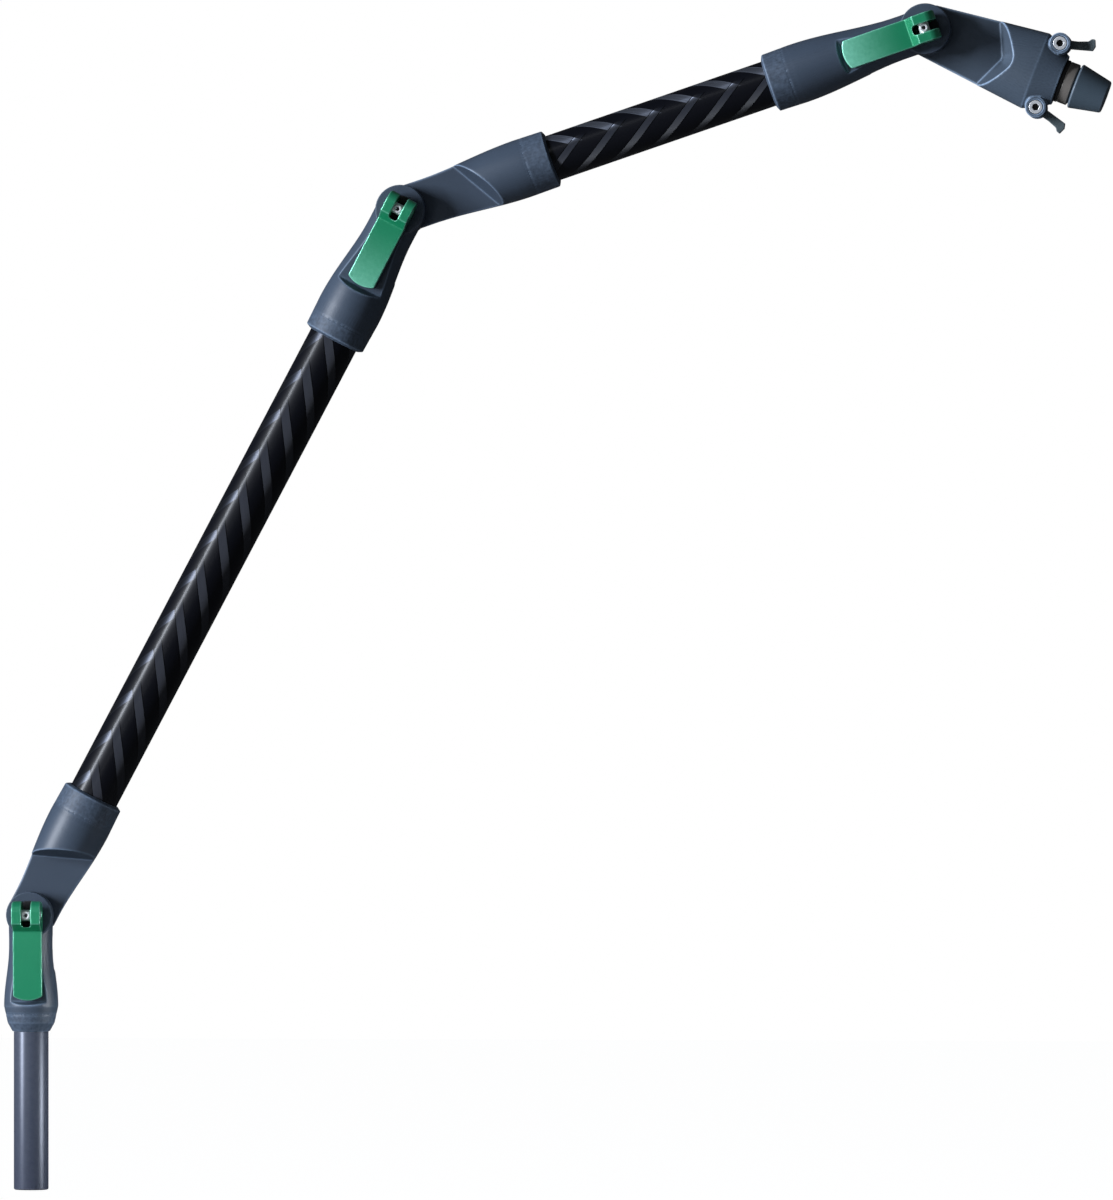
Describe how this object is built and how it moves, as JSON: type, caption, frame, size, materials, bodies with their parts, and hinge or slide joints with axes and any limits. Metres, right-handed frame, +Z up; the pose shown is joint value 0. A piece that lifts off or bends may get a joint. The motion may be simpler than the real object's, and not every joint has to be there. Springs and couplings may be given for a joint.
{
  "type": "window cleaning pole angle arm",
  "caption": "Articulated arm for a window cleaning pole: spigot, carbon tubes, clamped half-lap elbows with cam levers, and a brush head with a cone and claws.",
  "frame": {"origin": "centre of the spigot's lower end", "axes": "+Z up the spigot's axis; elbow axes along Y, cam levers on the -Y side, the arm leans towards +X"},
  "size_m": [0.7027, 0.0494, 0.7499],
  "materials": {
    "knuckle": "moulded satin",
    "carbon": "clear-coated carbon fibre",
    "spigot": "dark anodised",
    "lever_green": "green anodised",
    "cone": "moulded satin",
    "claw": "moulded",
    "seal": "matt",
    "ring": "grey plated",
    "steel": "zinc plated"
  },
  "bodies": {
    "base": {"base_spigot": "spigot", "base_knuckle": "knuckle", "barrel_pin_1": "steel", "clamp_stud_1": "steel", "cam_saddle_1": "steel", "nut_washer_1": "steel", "clamp_nut_1": "steel", "release_spring_1": "steel"},
    "long_arm": {"long_tube": "carbon", "long_tube_lower_knuckle": "knuckle", "long_tube_upper_knuckle": "knuckle", "barrel_pin_2": "steel", "clamp_stud_2": "steel", "cam_saddle_2": "steel", "nut_washer_2": "steel", "clamp_nut_2": "steel", "release_spring_2": "steel"},
    "short_arm": {"short_tube": "carbon", "short_tube_lower_knuckle": "knuckle", "short_tube_upper_knuckle": "knuckle", "barrel_pin_3": "steel", "clamp_stud_3": "steel", "cam_saddle_3": "steel", "nut_washer_3": "steel", "clamp_nut_3": "steel", "release_spring_3": "steel"},
    "head": {"head_housing": "knuckle", "cone_spigot": "cone", "neck_seal": "seal", "neck_ring": "ring", "latch_screw_upper": "steel", "latch_nut_upper": "steel", "latch_spring_upper": "steel", "latch_screw_lower": "steel", "latch_nut_lower": "steel", "latch_spring_lower": "steel"},
    "lever_1": {"cam_lever_1": "lever_green"},
    "lever_2": {"cam_lever_2": "lever_green"},
    "lever_3": {"cam_lever_3": "lever_green"},
    "claw_upper": {"latch_claw_upper": "claw"},
    "claw_lower": {"latch_claw_lower": "claw"}
  },
  "joints": [
    {"name": "elbow_1", "type": "hinge", "parent": "base", "child": "long_arm", "pos_m": [0, 0, 0.1745], "axis": [0, 1, 0], "range_deg": [-117.9, 92.1]},
    {"name": "elbow_2", "type": "hinge", "parent": "long_arm", "child": "short_arm", "pos_m": [0.2363, 0, 0.6208], "axis": [0, 1, 0], "range_deg": [-133.3, 76.7]},
    {"name": "elbow_3", "type": "hinge", "parent": "short_arm", "child": "head", "pos_m": [0.56858, 0, 0.73392], "axis": [0, 1, 0], "range_deg": [-129.7, 80.3]},
    {"name": "lever_1_swing", "type": "hinge", "parent": "base", "child": "lever_1", "pos_m": [0, -0.0225, 0.1745], "axis": [-1, 0, 0], "range_deg": [0, 110]},
    {"name": "lever_2_swing", "type": "hinge", "parent": "long_arm", "child": "lever_2", "pos_m": [0.2363, -0.0225, 0.6208], "axis": [-0.8838, 0, 0.4679], "range_deg": [0, 110]},
    {"name": "lever_3_swing", "type": "hinge", "parent": "short_arm", "child": "lever_3", "pos_m": [0.56858, -0.0225, 0.73392], "axis": [-0.3223, 0, 0.9466], "range_deg": [0, 110]},
    {"name": "claw_upper_press", "type": "hinge", "parent": "head", "child": "claw_upper", "pos_m": [0.6536, 0, 0.72446], "axis": [0, 1, 0], "range_deg": [0, 14], "stiffness_Nm_per_rad": 0.25, "springref_deg": -10},
    {"name": "claw_lower_press", "type": "hinge", "parent": "head", "child": "claw_lower", "pos_m": [0.63826, 0, 0.68429], "axis": [0, -1, 0], "range_deg": [0, 14], "stiffness_Nm_per_rad": 0.25, "springref_deg": -10}
  ]
}
